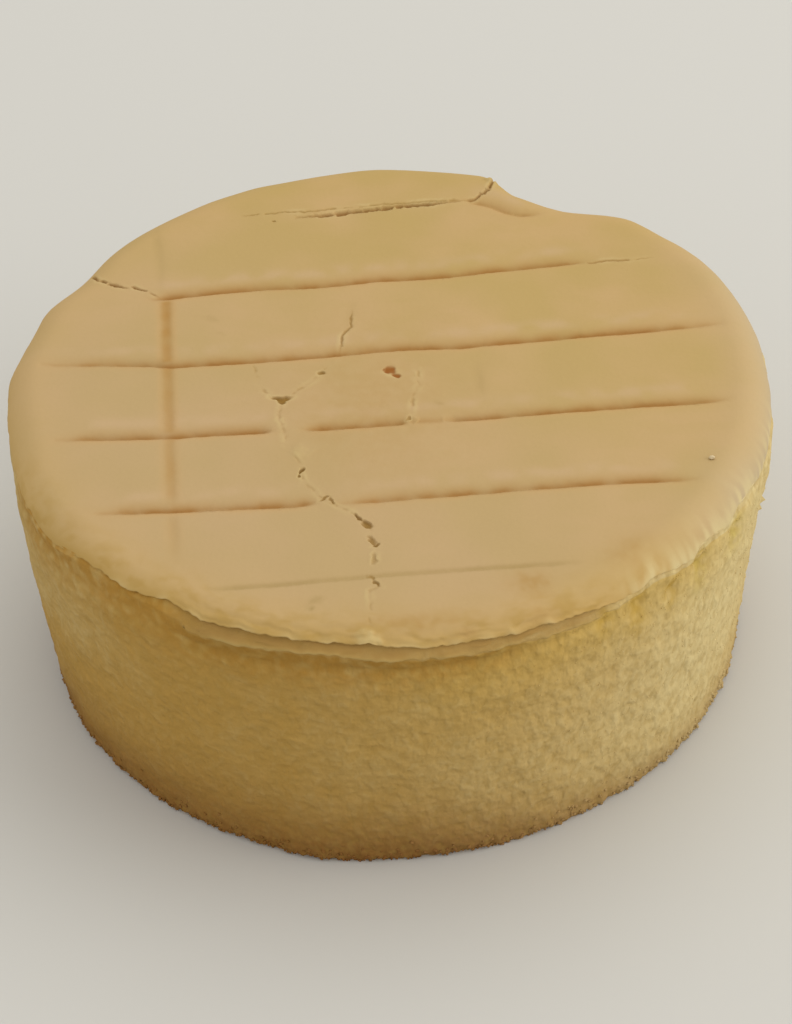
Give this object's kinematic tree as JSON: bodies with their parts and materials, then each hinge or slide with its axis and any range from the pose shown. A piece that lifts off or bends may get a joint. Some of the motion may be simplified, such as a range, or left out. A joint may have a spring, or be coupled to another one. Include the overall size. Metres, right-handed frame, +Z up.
{
  "type": "sponge cake",
  "caption": "Round sponge cake: browned top skin with straight grooves, branching cracks and a dented rim, torn skin edge over a bare open-crumb side.",
  "frame": {"origin": "middle of the bounding box at the level of the base, so the base rests on Z = 0", "axes": "+Z up through the middle of the cake; -Y towards the side that faces the viewer in the picture; +X to the viewer's right; the grooves run nearly along X"},
  "size_m": [0.1726, 0.1724, 0.0713],
  "materials": {
    "baked_sponge": "matte"
  },
  "bodies": {
    "root": {"sponge_cake": "baked_sponge"}
  },
  "joints": []
}
